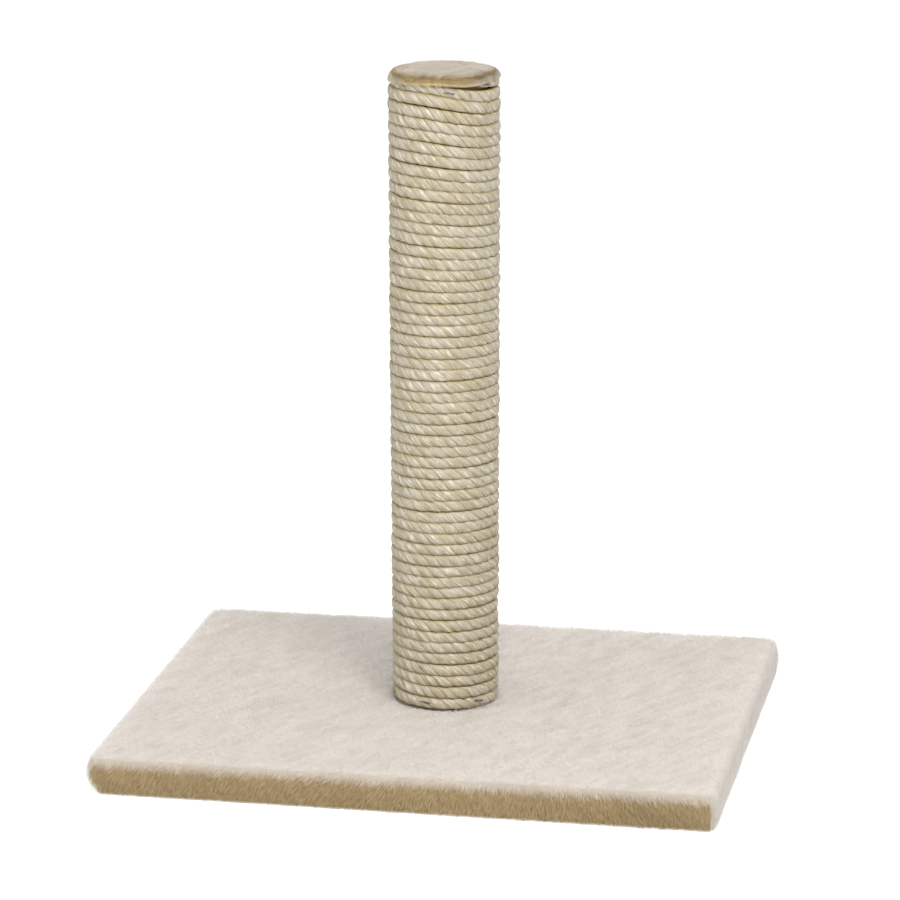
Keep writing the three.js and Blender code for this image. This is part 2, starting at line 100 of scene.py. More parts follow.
# Heights where the pile turns from painted shade to pale, on the base, the cap and its fringe.
BASE_LEVELS = (0.0182, 0.0250)
CAP_LEVELS = (DISC_HIGH.z - 0.0014, DISC_HIGH.z + 0.0013)
FRINGE_LEVELS = (0.493, 0.511)

# The cloth's hole for the bolt, and the round under the post that bears no pile.
BOLT_HOLE = 0.0045
BARE_RADIUS = 0.0385

# Length, width and added lean in degrees of the blades on the cap and on its fringe.
CAP_BLADE = (0.0028, 0.00028, -6)
FRINGE_BLADE = (0.0030, 0.0002, 20)
FRINGE_BLADES = 4200

# Faint specks strewn over each strand, and the dark spots of the photo: angle round the post,
# height, length along the rope, width, strength.
SPECKS = 60
STAINS = [
    (-108.5, 0.0600, 0.0024, 0.0009, 1.0),
    (-36.0, 0.0806, 0.0022, 0.0014, 0.6),
    (-127.0, 0.4790, 0.0010, 0.0030, 0.5),
    (-52.0, 0.4930, 0.0012, 0.0030, 0.5),
    (-55.0, 0.3850, 0.0012, 0.0012, 0.7),
    (-94.0, 0.4480, 0.0016, 0.0010, 0.5),
]


def paint(red, green, blue):
    """A colour from 0 to 255 a channel, as the linear values that shaders use."""
    return tuple(
        share / 12.92 if share <= 0.04045 else ((share + 0.055) / 1.055) ** 2.4
        for share in (red / 255, green / 255, blue / 255)
    )


# ---------------------------------------------------------------- shapes


def ease(value, low, high):
    """0 below low, 1 above high, and 3t^2 - 2t^3 between them."""
    share = np.clip((value - low) / (high - low), 0, 1)
    return share * share * (3 - 2 * share)


def squeeze(value, limit):
    """The value where it is small, levelling off at the limit: v / (1 + |v / limit|^8)^(1/8)."""
    return value / (1 + np.abs(value / limit) ** 8) ** 0.125


def unit(vectors):
    """The vectors, each divided by its length."""
    return vectors / np.maximum(np.linalg.norm(vectors, axis=-1, keepdims=True), 1e-12)


def drift(rng, along, spacing, amount):
    """A value that wanders along a line: random values at even spacings, in smooth steps."""
    place = (along - along.min()) / spacing
    cell = place.astype(int)
    values = rng.uniform(-amount, amount, cell.max() + 2)
    share = ease(place - cell, 0, 1)
    return values[cell] * (1 - share) + values[cell + 1] * share


def ripple(rng, x, y, size):
    """A field from -1 to 1: random values at the corners of squares, joined by smooth steps."""
    table = rng.uniform(-1, 1, (97, 97))
    column, row = x / size + 700.5, y / size + 700.5
    left, low = np.floor(column).astype(int), np.floor(row).astype(int)
    across, up = ease(column - left, 0, 1), ease(row - low, 0, 1)
    left, low = left % 96, low % 96
    below = table[left, low] * (1 - across) + table[left + 1, low] * across
    above = table[left, low + 1] * (1 - across) + table[left + 1, low + 1] * across
    return below * (1 - up) + above * up


def grid_faces(rows, columns, loop_rows=False):
    """Four-cornered faces of a grid whose columns run round in a loop, and rows too if asked."""
    row = np.arange(rows if loop_rows else rows - 1)[:, None]
    column = np.arange(columns)[None, :]
    next_row, next_column = (row + 1) % rows, (column + 1) % columns
    corners = [
        row * columns + column,
        row * columns + next_column,
        next_row * columns + next_column,
        next_row * columns + column,
    ]
    return np.stack(corners, axis=-1).reshape(-1, 4)


def turned_outwards(points, faces):
    """The faces of a closed surface, reversed if the volume they enclose counts below zero."""
    volume = 0
    for group in faces:
        first, second, third = (points[group[:, i]] for i in (0, 1, 2))
        volume += np.einsum("ij,ij->", first, np.cross(second, third))
        if group.shape[1] == 4:
            fourth = points[group[:, 3]]
            volume += np.einsum("ij,ij->", first, np.cross(third, fourth))
    return faces if volume > 0 else [group[:, ::-1] for group in faces]


def add_object(name, data):
    """A named object that holds the data, in the scene."""
    holder = bpy.data.objects.new(name, data)
    bpy.context.scene.collection.objects.link(holder)
    return holder


def add_piece(name, points, faces, material, attributes=None):
    """A named mesh piece of the post, from points, faces and values kept on its points."""
    mesh = bpy.data.meshes.new(name)
    corners = np.concatenate([group.ravel() for group in faces])
    sizes = np.concatenate([np.full(len(group), group.shape[1]) for group in faces])
    mesh.vertices.add(len(points))
    mesh.vertices.foreach_set("co", points.astype(np.float32).ravel())
    mesh.loops.add(len(corners))
    mesh.loops.foreach_set("vertex_index", corners.astype(np.int32))
    mesh.polygons.add(len(sizes))
    starts = np.cumsum(sizes) - sizes
    mesh.polygons.foreach_set("loop_start", starts.astype(np.int32))
    mesh.update(calc_edges=True)
    for key, values in (attributes or {}).items():
        kind, field = ("FLOAT", "value") if values.ndim == 1 else ("FLOAT_VECTOR", "vector")
        store = mesh.attributes.new(key, kind, "POINT")
        store.data.foreach_set(field, values.astype(np.float32).ravel())
    mesh.materials.append(material)
    piece = add_object(name, mesh)
    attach(piece, "root")
    return piece


# ---------------------------------------------------------------- finishes


class Signal:
    """A node's output with Python's own operators: an expression on values adds its Math nodes."""

    def __init__(self, finish, socket):
        self.finish = finish
        self.socket = socket

    def math(self, operation, *values):
        settings = {"operation": operation}
        return self.finish.node("ShaderNodeMath", settings, dict(enumerate(values)))

    def __add__(self, other):
        return self.math("ADD", self, other)

    def __radd__(self, other):
        return self.math("ADD", other, self)

    def __sub__(self, other):
        return self.math("SUBTRACT", self, other)

    def __rsub__(self, other):
        return self.math("SUBTRACT", other, self)

    def __mul__(self, other):
        return self.math("MULTIPLY", self, other)

    def __rmul__(self, other):
        return self.math("MULTIPLY", other, self)

    def __pow__(self, other):
        return self.math("POWER", self, other)

    def above(self, low, high):
        """0 below low, 1 above high, with a soft step between them."""
        settings = {"interpolation_type": "SMOOTHSTEP"}
        sockets = {0: self, 1: low, 2: high}
        return self.finish.node("ShaderNodeMapRange", settings, sockets)


class Finish:
    """The node tree of a material, a world or a lamp."""

    def __init__(self, owner):
        owner.use_nodes = True
        self.owner = owner
        self.tree = owner.node_tree
        self.tree.nodes.clear()

    def node(self, kind, settings=None, sockets=None, output=0):
        """A node of a kind: its settings first, then the values and links of its sockets.
        Colours have three channels, and are opaque."""
        node = self.tree.nodes.new(kind)
        for name, value in (settings or {}).items():
            setattr(node, name, value)
        for key, value in (sockets or {}).items():
            socket = node.inputs[key]
            if isinstance(value, Signal):
                self.tree.links.new(value.socket, socket)
            else:
                socket.default_value = (*value, 1) if socket.type == "RGBA" else value
        return Signal(self, node.outputs[output]) if len(node.outputs) else None

    def kept(self, name, output="Fac"):
        """The values that the mesh keeps on its points under this name."""
        settings = {"attribute_name": name, "attribute_type": "GEOMETRY"}
        return self.node("ShaderNodeAttribute", settings, output=output)

    def place(self):
        """Where the surface is, in the object's own frame."""
        return self.node("ShaderNodeTexCoord", output="Object")

    def stretched(self, vector, scales):
        """The vector times three scales."""
        settings = {"operation": "MULTIPLY"}
        return self.node("ShaderNodeVectorMath", settings, {0: vector, 1: scales})

    def noise(self, vector, scale, detail=2.0, roughness=0.5):
        """Soft noise about one half, with one scale or one for each axis."""
        if isinstance(scale, tuple):
            vector, scale = self.stretched(vector, scale), 1.0
        sockets = {"Vector": vector, "Scale": scale, "Detail": detail, "Roughness": roughness}
        return self.node("ShaderNodeTexNoise", None, sockets)

    def mix(self, factor, first, second, blend="MIX"):
        """One colour blended with another."""
        settings = {"data_type": "RGBA", "blend_type": blend}
        sockets = {0: factor, 6: first, 7: second}
        return self.node("ShaderNodeMix", settings, sockets, output=2)

    def bump(self, height, distance, strength):
        """A normal from a height, where a height of 1 stands the distance proud."""
        sockets = {"Strength": strength, "Distance": distance, "Height": height}
        return self.node("ShaderNodeBump", None, sockets)

    def surface(self, sockets, through=None):
        """The surface shader and the tree's output: with a colour and a share given, that share
        of the surface lets light through in that colour."""
        shader = self.node("ShaderNodeBsdfPrincipled", None, sockets)
        if through:
            colour, share = through
            light = self.node("ShaderNodeBsdfTranslucent", None, {"Color": colour})
            shader = self.node("ShaderNodeMixShader", None, {0: share, 1: shader, 2: light})
        self.node("ShaderNodeOutputMaterial", None, {"Surface": shader})
        return self.owner

    def embossed(self, colour, roughness, bump, **more):
        """A surface of a colour and a roughness, with a bump's height, distance and strength."""
        normal = self.bump(*bump)
        sockets = {"Base Color": colour, "Roughness": roughness, "Normal": normal}
        return self.surface({**sockets, **more})


def new_finish(name):
    """A finish on a new material."""
    return Finish(bpy.data.materials.new(name))


def sisal_finish(settings):
    """Silky plant fibre: pale streaks along the strands and short bright painted highlights,
    painted shade in yellow deep in the grooves, and a few dark spots."""
    finish = new_finish("sisal_strands")
    strand = finish.kept("strand", "Vector")
    groove_shade = finish.kept("groove_shade")
    hairs = finish.noise(strand, (110, 1500, 900), 3.0, 0.6)
    bundles = finish.noise(strand, (60, 640, 900), 2.0)
    # Painted highlights: short bright streaks along the strands, lighter in colour and less rough.
    painted_glints = finish.noise(strand, (170, 760, 900), 1.0).above(0.52, 0.7)
    patches = finish.noise(finish.place(), 55.0, 3.0, 0.6)
    colour = finish.mix(patches.above(0.35, 0.65), settings.warm, settings.pale)
    shade = hairs.above(0.36, 0.6) * 0.6 + bundles.above(0.35, 0.62) * 0.4
    colour = finish.mix((1 - shade) * 0.6, colour, settings.shade)
    # Painted highlight colour mixed over the fibre.
    colour = finish.mix(painted_glints * 0.6, colour, settings.painted_glint)
    # Painted shade: the fibre turns a darker yellow deep between strands and turns.
    colour = finish.mix(groove_shade, colour, settings.groove_shade)
    colour = finish.mix(finish.kept("stain"), colour, settings.stain)
    roughness = 0.42 - painted_glints * 0.14 + groove_shade * 0.4
    bump = hairs * 0.7 + bundles, 0.0007, 0.9
    return finish.embossed(colour, roughness, bump, **{"Specular IOR Level": 0.7})


def hair_finish(settings):
    """Loose sisal hairs, some patches of them pale and some yellower."""
    finish = new_finish("sisal_hairs")
    patches = finish.noise(finish.place(), 160.0, 2.0)
    colour = finish.mix(patches.above(0.4, 0.6), settings.pale, settings.warm)
    return finish.surface({"Base Color": colour, "Roughness": 0.45})


def plush_finish(name, settings, deep, backing=False):
    """Plush: from the root's colour to the tip's along each blade, the roots darker as painted
    shade deep in the pile, and from the shaded pair to the pale pair with the kept nap value,
    which holds painted light and shade by height and the way the cloth faces. It darkens as the
    kept tone value falls, in streaks and painted shade, and in a fine mottle, and lets more light
    through where it is pale. The backing has the roots' colours only."""
    finish = new_finish(name)
    nap, tone_and_shade = finish.kept("nap"), finish.kept("tone_and_shade")
    mottle = finish.noise(finish.place(), 420.0, 2.0).above(0.3, 0.7)
    shaded_root, shaded_tip = deep
    # Painted light and shade: from the shaded colours to the pale ones by the kept nap value.
    colour = finish.mix(nap, shaded_root, settings.pale_root)
    if not backing:
        # Roots darker than tips: painted shade deep in the pile.
        tip = finish.mix(nap, shaded_tip, settings.pale_tip)
        colour = finish.mix(finish.kept("tip").above(0.0, 0.85), colour, tip)
    # Painted shade: a darker copy of the colour, mixed in as the kept tone falls.
    dark = finish.mix(1.0, colour, (0.78, 0.76, 0.73), "MULTIPLY")
    colour = finish.mix((1 - tone_and_shade) * 0.8 + mottle * 0.2, colour, dark)
    return finish.surface({
        "Base Color": colour,
        "Roughness": 0.9,
        "Specular IOR Level": 0.2,
        "Sheen Weight": settings.sheen,
        "Sheen Roughness": 0.5,
        "Sheen Tint": settings.pale_tip,
    }, (settings.through, nap * 0.45 + 0.05))


def chipboard_finish():
    """Pressed wood chips: flat flakes in straw, honey and brown, and a fine rough grain."""
    finish = new_finish("chipboard_raw")
    place = finish.place()
    cells = {"Vector": finish.stretched(place, (330, 520, 420)), "Scale": 1.0}
    flakes = finish.node("ShaderNodeTexVoronoi", None, cells, output="Color")
    tone = finish.node("ShaderNodeSeparateColor", None, {0: flakes})
    grain = finish.noise(place, (900, 2600, 900), 4.0, 0.65)
    straw = finish.mix(tone, paint(158, 122, 78), paint(206, 176, 128))
    colour = finish.mix(grain.above(0.3, 0.5), paint(120, 86, 50), straw)
    height = tone * 0.6 + grain * 0.4
    return finish.embossed(colour, 0.75 + grain * 0.2, (height, 0.0004, 0.8))


def cardboard_finish():
    """Wound grey-brown card: fine fibres round the tube and darker flecks."""
    finish = new_finish("cardboard_wound")
    place = finish.place()
    fibres = finish.noise(place, (500, 500, 1500), 4.0, 0.7)
    flecks = finish.noise(place, 900.0, 1.0).above(0.66, 0.72)
    colour = finish.mix(fibres, paint(142, 114, 80), paint(190, 163, 124))
    colour = finish.mix(flecks * 0.5, colour, paint(98, 74, 48))
    return finish.embossed(colour, 0.85, (fibres, 0.0002, 0.6))


def softwood_finish():
    """Sawn softwood: growth rings in two yellows, with saw marks."""
    finish = new_finish("softwood_sawn")
    place = finish.place()
    settings = {"wave_type": "BANDS", "bands_direction": "X"}
    sockets = {"Vector": place, "Scale": 62.0, "Distortion": 3.0, "Detail Scale": 1.5}
    rings = finish.node("ShaderNodeTexWave", settings, sockets, output=1)
    grain = finish.noise(place, (1800, 240, 1800), 3.0)
    colour = finish.mix(rings ** 2, paint(222, 192, 142), paint(184, 138, 82))
    colour = finish.mix(grain * 0.3, colour, paint(146, 104, 60))
    return finish.embossed(colour, 0.7 + grain * 0.2, (grain, 0.0002, 0.6))


def hardboard_finish():
    """Smooth brown hardboard with fine pressed fibres."""
    finish = new_finish("hardboard_smooth")
    fibres = finish.noise(finish.place(), 700.0, 5.0, 0.7)
    colour = finish.mix(fibres.above(0.3, 0.7), paint(88, 60, 38), paint(134, 96, 62))
    return finish.embossed(colour, 0.45 + fibres * 0.2, (fibres, 0.0001, 0.5))


def metal_finish(name, bright, dull, roughness):
    """Plated steel: a bright coat that dulls in patches, with fine drawn scratches."""
    finish = new_finish(name)
    place = finish.place()
    patches = finish.noise(place, 380.0, 3.0, 0.6).above(0.35, 0.7)
    scratches = finish.noise(place, (900, 900, 6000), 2.0)
    colour = finish.mix(patches, bright, dull)
    roughness = roughness + patches * 0.15 + scratches * 0.1
    return finish.embossed(colour, roughness, (scratches, 0.00005, 0.4), Metallic=1.0)


# ---------------------------------------------------------------- rope


def held_back(turns):
    """How many pitches the end turns are held level: the turns run so far less the crossings
    passed, each a soft step about a whole turn, fading from turn to turn."""
    passed = np.floor(turns - 0.5) + ease((turns - 0.5) % 1, 0.3, 0.54)
    return (turns - np.maximum(passed, 0)) * np.exp(-turns / 8)


def rope_line(turns):
    """The rope's middle line after a number of turns from its top end.

    Angle: a full circle a turn. Height: one pitch down a turn, less what the end turns
    are held level, plus a lean that falls to the right by 1 mm near the top and rises to the
    right by 2 mm further down.
    """
    left = ROPE_TURNS - turns
    angle = ROPE_TOP_ANGLE + 2 * np.pi * turns
    lean = 0.003 * ease(turns, 6, 26) * ease(left, 0, 12)
    lean = (lean - 0.001 * ease(turns, 0, 1)) * np.cos(angle)
    level = held_back(turns) - held_back(left)
    return angle, ROPE_TOP - ROPE_PITCH * (turns - level) + lean


def round_post(angle, radius, height):
    """Points from their angle round the post, their distance from its axis and their height.
    The axis moves to the left by the post's lean on its way up."""
    middle = POST_X - POST_LEAN * height / ROPE_TOP
    return np.stack([middle + radius * np.cos(angle), radius * np.sin(angle), height], axis=-1)


def near_spot(angle, height, spot_angle, spot_height, length, width):
    """1 at a spot on the winding, falling off to 0 beyond its length and width."""
    turn = (angle - spot_angle + np.pi) % (2 * np.pi) - np.pi
    along = turn * (ROPE_MIDDLE + 0.004) / length
    return np.exp(-(along ** 4) - ((height - spot_height) / width) ** 4)


def wind_strand(number, settings, material):
    """One of the rope's three strands, as rounds along the rope by corners of its section.

    The section is a third of the rope: an arc whose distance from the rope's middle is
    r - d (1 - cos(1.5 a)^1.4), for the rope's radius r and the depth d between two strands,
    and one corner at the middle. It turns once in each lay, to the right, while its middle
    goes round the post. Its height levels off where the next turns press on it, its inner
    side on the tube and its outer side under the staples. Drifts that all strands share vary
    the lay, the rope's thickness and its path, and drifts of its own vary its swelling. The
    groove value is 1 deep between strands and turns, and the stain value 1 in a dark spot. The
    strand value is the way along the rope, the way across the strand and the strand's number.
    """
    shared, own = default_rng(11), default_rng(21 + number)
    around = 2 * np.pi * ROPE_MIDDLE
    length = ROPE_TURNS * around
    rounds = int(length / settings.lay * 15)
    along = np.linspace(0, length, rounds)
    turns = along / around
    angle, height = rope_line(turns)
    turn = 2 * np.pi * (along / settings.lay + number / 3)
    turn = turn + drift(shared, along, 0.045, 0.8)
    before, after = (drift(default_rng(41 + side % 3), along, 0.016, 0.36)
                     for side in (number, number + 1))
    thick = 1 + drift(shared, along, 0.06, 0.045)
    flat = 0.6 + 0.4 * ease(np.minimum(turns, ROPE_TURNS - turns), 0, 0.13)
    first = (1 - ease(turns, 0.8, 1)) * (0.3 + 0.7 * ease(turns, 0.05, 0.25))
    height = height + drift(shared, along, 0.05, 0.0005)
    height = height + 0.0012 * (1 - flat) * np.sign(ROPE_TURNS / 2 - turns)
    out = ROPE_MIDDLE + ROPE_SPREAD * height / ROPE_TOP - 0.0015 * first
    out = out + drift(shared, along, 0.05, 0.0003)

    share = np.append(np.linspace(0, 1, 11), 0.5)
    corners = len(share)
    corner = np.radians(120 * share - 60)
    swell = np.cos(1.5 * corner)
    reach = settings.radius - settings.depth * (1 - swell**1.4)
    reach[-1] = 0.0002
    reach = reach * (thick[:, None] + drift(own, along, 0.02, 0.09)[:, None] * swell)
    reach = reach + 0.0003 * swell * ripple(own, along[:, None] / 5, corner * 0.004, 0.0011)
    direction = turn[:, None] + corner + before[:, None] * (1 - share) + after[:, None] * share
    outwards = reach * np.cos(direction)
    upwards = -reach * np.sin(direction)
    boxy = 1.55 - 0.5 * first[:, None] * (upwards > 0)
    upwards = squeeze(boxy * upwards, HALF_TURN + 0.0006) * flat[:, None]
    outwards = np.where(outwards < 0, squeeze(outwards, 0.0040), outwards)

    angle = np.broadcast_to(angle[:, None], reach.shape)
    radius = np.maximum(out[:, None] + outwards, TUBE_RADIUS + 0.0001)
    height = height[:, None] + upwards
    stain = np.zeros(reach.shape)
    for name in ROPE_STAPLES:
        low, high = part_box(name)
        middle = (low + high) / 2
        place = math.atan2(middle.y, middle.x - POST_X), middle.z
        spot = near_spot(angle, height, *place, *DENT_SIZE)
        radius = radius - spot * np.maximum(radius - TUBE_RADIUS - DENT_REACH, 0)
    for degrees, level, length, width, strength in STAINS:
        stain += strength * near_spot(angle, height, math.radians(degrees), level, length, width)
    for _ in range(SPECKS):
        spot = own.uniform(-np.pi, np.pi), own.uniform(ROPE_BOTTOM, ROPE_TOP)
        size = own.uniform(0.0008, 0.003), own.uniform(0.0005, 0.0011)
        stain += own.uniform(0.1, 0.35) * near_spot(angle, height, *spot, *size)

    uneven = np.abs(drift(own, along, 0.007, 1))[:, None]
    between = ease(np.abs(corner), np.radians(44), np.radians(59)) * (0.05 + 0.35 * uneven)
    depth = 0.25 + 0.6 * np.abs(drift(own, along, 0.008, 1))[:, None]
    pressed = ease(np.abs(upwards), 0.0038, 0.0043) * depth
    # Where shade is painted: deep between strands, where the turns press together, and on the
    # rope's inner side.
    groove_shade = np.maximum(np.maximum(between, pressed), outwards < 0.0012)
    across = corner * 0.0033 + along[:, None] * 0.22
    strand = np.stack(np.broadcast_arrays(along[:, None], across, 0.07 * number), axis=-1)

    points = round_post(angle, radius, height).reshape(-1, 3)
    fan = np.array([[corners - 1, side + 1, side] for side in range(corners - 2)])
    ends = np.concatenate([fan, fan[:, ::-1] + corners * (rounds - 1)])
    faces = turned_outwards(points, [grid_faces(rounds, corners), ends])
    values = {
        "strand": strand.reshape(-1, 3),
        "groove_shade": groove_shade.ravel(),
        "stain": np.clip(stain, 0, 1).ravel(),
    }
    return add_piece(f"rope_strand_{number + 1}", points, faces, material, values)


def hair_tubes(paths, thick):
    """Thin three-sided tubes along many paths: corners at a third of a turn round each point."""
    count, steps, _ = paths.shape
    ahead = unit(np.gradient(paths, axis=1))
    side = unit(np.cross(ahead, np.array([0.31, 0.42, 0.85])))
    other = np.cross(ahead, side)
    turns = np.radians([0, 120, 240])[:, None]
    rings = paths[:, :, None] + thick[:, :, None, None] * (
        side[:, :, None] * np.cos(turns) + other[:, :, None] * np.sin(turns)
    )
    wall = grid_faces(steps, 3)
    ends = np.array([[2, 1, 0], [3 * steps - 3, 3 * steps - 2, 3 * steps - 1]])
    first = 3 * steps * np.arange(count)[:, None, None]
    faces = [(wall + first).reshape(-1, 4), (ends + first).reshape(-1, 3)]
    points = rings.reshape(-1, 3)
    return points, turned_outwards(points, faces)


def loose_hairs(settings):
    """Hairs that have come loose from the rope.

    Each starts on the winding, runs mostly along its strand's slope for its length, bending a
    little, and lifts off with the square of the way along it. Every seventh runs any way.
    """
    rng = default_rng(5)
    count, share = settings.hairs, np.linspace(0, 1, 7)
    turns = rng.uniform(0.05, ROPE_TURNS - 0.05, count)
    start, level = rope_line(turns)
    level = level + rng.uniform(-0.003, 0.003, count)
    length = rng.uniform(0.004, 0.016, count)
    slope = np.radians(rng.normal(-28, 24, count))
    slope[::7] = np.radians(rng.uniform(-90, 90, len(slope[::7])))
    bend = rng.normal(0, 0.5, count)
    lift = np.abs(rng.normal(0.0002, 0.0008, count))
    way = length[:, None] * share
    heading = slope[:, None] + bend[:, None] * share
    angle = start[:, None] + way * np.cos(heading) / HAIR_RADIUS
    height = np.clip(level[:, None] + way * np.sin(heading), *HAIR_HEIGHTS)
    radius = ROPE_MIDDLE + 0.0040 + ROPE_SPREAD * height / ROPE_TOP
    radius = radius + lift[:, None] * share**2 + 0.00012 * rng.uniform(-1, 1, (count, 1))
    paths = round_post(angle, radius, height)
    thick = rng.uniform(0.00004, 0.0001, (count, 1)) * (1 - 0.7 * share)
    return paths, thick


def cut_end_hairs():
    """The frayed fibres of the rope's cut top end: they start over its section, which is
    flattened to 0.45 of its height, run on past the cut and mostly draw together on the way."""
    rng = default_rng(8)
    count, share = 420, np.linspace(0, 1, 7)
    swing = rng.uniform(0, 2 * np.pi, count)
    spread = 0.0036 * np.sqrt(rng.uniform(0, 1, count))
    way = rng.uniform(0.002, 0.015, count)[:, None] * share
    angle = ROPE_TOP_ANGLE - (way - 0.001) / ROPE_MIDDLE
    fan = 1 - 0.5 * share**2 * rng.uniform(-0.3, 1, (count, 1))
    radius = ROPE_MIDDLE + spread[:, None] * np.cos(swing)[:, None] * fan
    height = ROPE_TOP + 0.0011 + 0.45 * spread[:, None] * np.sin(swing)[:, None] * fan
    paths = round_post(angle, np.maximum(radius, TUBE_RADIUS + 0.0003), height)
    thick = rng.uniform(0.00008, 0.00018, (count, 1)) * (1 - 0.6 * share)
    return paths, thick


# ---------------------------------------------------------------- plush


def outline_parts():
    """The outline of a rounded board as shares: where each point's corner centre lies between
    -1 and 1 on both axes, and the way its edge faces. It runs anticlockwise, 2.7 mm a step on
    the sides and 12 steps round each corner."""
    centres, facing = [], []
    corners = [(1, -1), (1, 1), (-1, 1), (-1, -1)]
    for side, steps in enumerate((140, 160, 140, 160)):
        start, end = np.array(corners[side]), np.array(corners[(side + 1) % 4])
        share = np.arange(steps)[:, None] / steps
        centres.append(start + (end - start) * share)
        facing.append(np.full(steps, side * 90.0))
        centres.append(np.repeat(end[None, :], 12, axis=0))
        facing.append(side * 90 + np.arange(12) * 7.5)
    facing = np.radians(np.concatenate(facing))
    return np.concatenate(centres), np.stack([np.cos(facing), np.sin(facing)], axis=-1)


def outline_at(inset):
    """The board's outline moved inwards by an inset. The cloth stands out further at the ends
    than at the front and back, and furthest at the left end's back."""
    centres, facing = outline_parts()
    corner_radius, sharpest, ends_proud = 0.0096, 0.002, 0.0042
    left_proud, back_proud, half_depth = 0.0062, 0.0018, 0.2
    radius = max(corner_radius - inset, sharpest)
    half = np.array([BASE_HIGH.x + ends_proud - inset - radius, BASE_HIGH.y - inset - radius])
    rim = centres * half + radius * facing
    skew = ease(-rim[:, 0], 0, 0.2) * (left_proud + back_proud * rim[:, 1] / half_depth)
    return rim - skew[:, None] * [1, 0]


def surface_normals(grid):
    """The normal at each point of a grid whose columns run round in a loop."""
    down = np.gradient(grid, axis=0)
    along = np.roll(grid, -1, axis=1) - np.roll(grid, 1, axis=1)
    return unit(np.cross(down, along))


def base_cloth():
    """The plush's woven backing, as a closed grid: rows along its section, columns round it.

    The section runs from the bolt hole out over the top, round the upper edge in a quarter
    circle, down the side, round the foot and inwards as the hem, then back as the inner
    face, 1 mm behind, to the bolt hole. The top rises and falls a little between soft hollows,
    and the foot is drawn in at the left front corner.
    """
    top, low = BOARD_HIGH.z + 0.0013, 0.0005
    proud, edge, foot = 0.0032, 0.0028, 0.0020
    post = np.array([POST_X, 0])
    rim = outline_at(proud + edge)
    reach = np.linalg.norm(rim - post, axis=1, keepdims=True)
    towards = (rim - post) / reach

    def rings(start, shares, level):
        """Rows from a radius round the post out to the rim, by shares of the way."""
        return [(post + (start + (reach - start) * share) * towards, level) for share in shares]

    near = 0.046
    rows = [(post + radius * towards, top)
            for radius in (BOLT_HOLE, 0.015, 0.028, 0.033, 0.036, 0.039, 0.042, near)]
    rows += rings(near, np.linspace(0, 1, 44)[1:], top)
    outer = len(rows)
    for turn in np.radians(np.linspace(0, 90, 10))[1:]:
        inset = proud + edge * (1 - math.sin(turn))
        rows.append((outline_at(inset), top - edge * (1 - math.cos(turn))))
    for height in np.linspace(top - edge, low + foot, 12)[1:]:
        share = (top - edge - height) / (top - edge - low - foot)
        inset = proud - 0.0012 * math.sin(math.pi * min(share * 1.15, 1))
        rows.append((outline_at(inset), height))
    for turn in np.radians(np.linspace(0, 90, 5))[1:]:
        inset = proud + foot * (1 - math.cos(turn))
        rows.append((outline_at(inset), low + foot * (1 - math.sin(turn))))
    hem_foot, hem_end = outline_at(0.0100), outline_at(0.0440)

    def hem(shares, level):
        """Rows from the foot in to the hem's end, by shares of the way."""
        return [(hem_foot + (hem_end - hem_foot) * share, level) for share in shares]

    rows += hem(np.linspace(0, 1, 10), low)
    shown = len(rows)
    clear_of_board = 0.0003
    under, over = BOARD_LOW.z - clear_of_board, BOARD_HIGH.z + clear_of_board
    rows += hem(np.linspace(1, 0, 6), under)
    wall = outline_at(proud + 0.0011)
    rows += [(wall, level) for level in (BOARD_LOW.z - 0.0002, 0.008, 0.015, over - 0.0001)]
    rows += rings(BOLT_HOLE, np.linspace(1, 0, 8), over)
    flat = np.stack([row[0] for row in rows])
    height = np.stack([np.full(len(rim), row[1]) for row in rows])
    rng = default_rng(31)
    x, y = flat[:outer, :, 0], flat[:outer, :, 1]
    hollow = 0.6 * ripple(rng, x, y, 0.055) + 0.4 * ripple(rng, x, y, 0.018)
    clear = ease(np.hypot(x - POST_X, y), 0.044, 0.07)
    rise, swing = 0.0006, 0.0004
    height[:outer] += clear * (rise + swing * hollow)
    height[outer : outer + 9] += np.linspace(rise, 0, 10)[1:, None]
    drawn_in = ease(-flat[:, :, 0], 0.19, 0.225) * ease(-flat[:, :, 1], -0.05, 0.17)
    deepest = 0.0065
    flat[:, :, 0] += deepest * drawn_in * (1 - ease(height, 0.0010, 0.0125))
    return np.dstack([flat, height]), outer, shown


def scattered(rng, grid, count):
    """Points strewn evenly over a grid by area, with the normals there."""
    normals = surface_normals(grid)
    corner, right = grid[:-1], np.roll(grid, -1, axis=1)[:-1]
    below = grid[1:]
    area = np.linalg.norm(np.cross(right - corner, below - corner), axis=-1).ravel()
    cells = rng.choice(len(area), count, p=area / area.sum())
    row, column = np.divmod(cells, grid.shape[1])
    after = (column + 1) % grid.shape[1]
    down, over = rng.uniform(0, 1, (2, count, 1))

    def between(values):
        left = values[row, column] * (1 - down) + values[row + 1, column] * down
        right = values[row, after] * (1 - down) + values[row + 1, after] * down
        return left * (1 - over) + right * over

    return between(grid), unit(between(normals))


def nap_direction(normals, heading):
    """The way the pile lies: one heading on the flat cloth, carried round every bend.

    With h the sideways part of the normal, the heading's share along h is laid down the slope
    instead: d + (d.h)(h (nz - 1) - z |nh|).
    """
    sideways = normals * [1, 1, 0]
    steep = np.linalg.norm(sideways, axis=-1, keepdims=True)
    sideways = sideways / np.maximum(steep, 1e-9)
    share = sideways @ heading
    slope = sideways * (normals[:, 2:] - 1) - steep * np.array([0, 0, 1.0])
    return heading + share[:, None] * slope


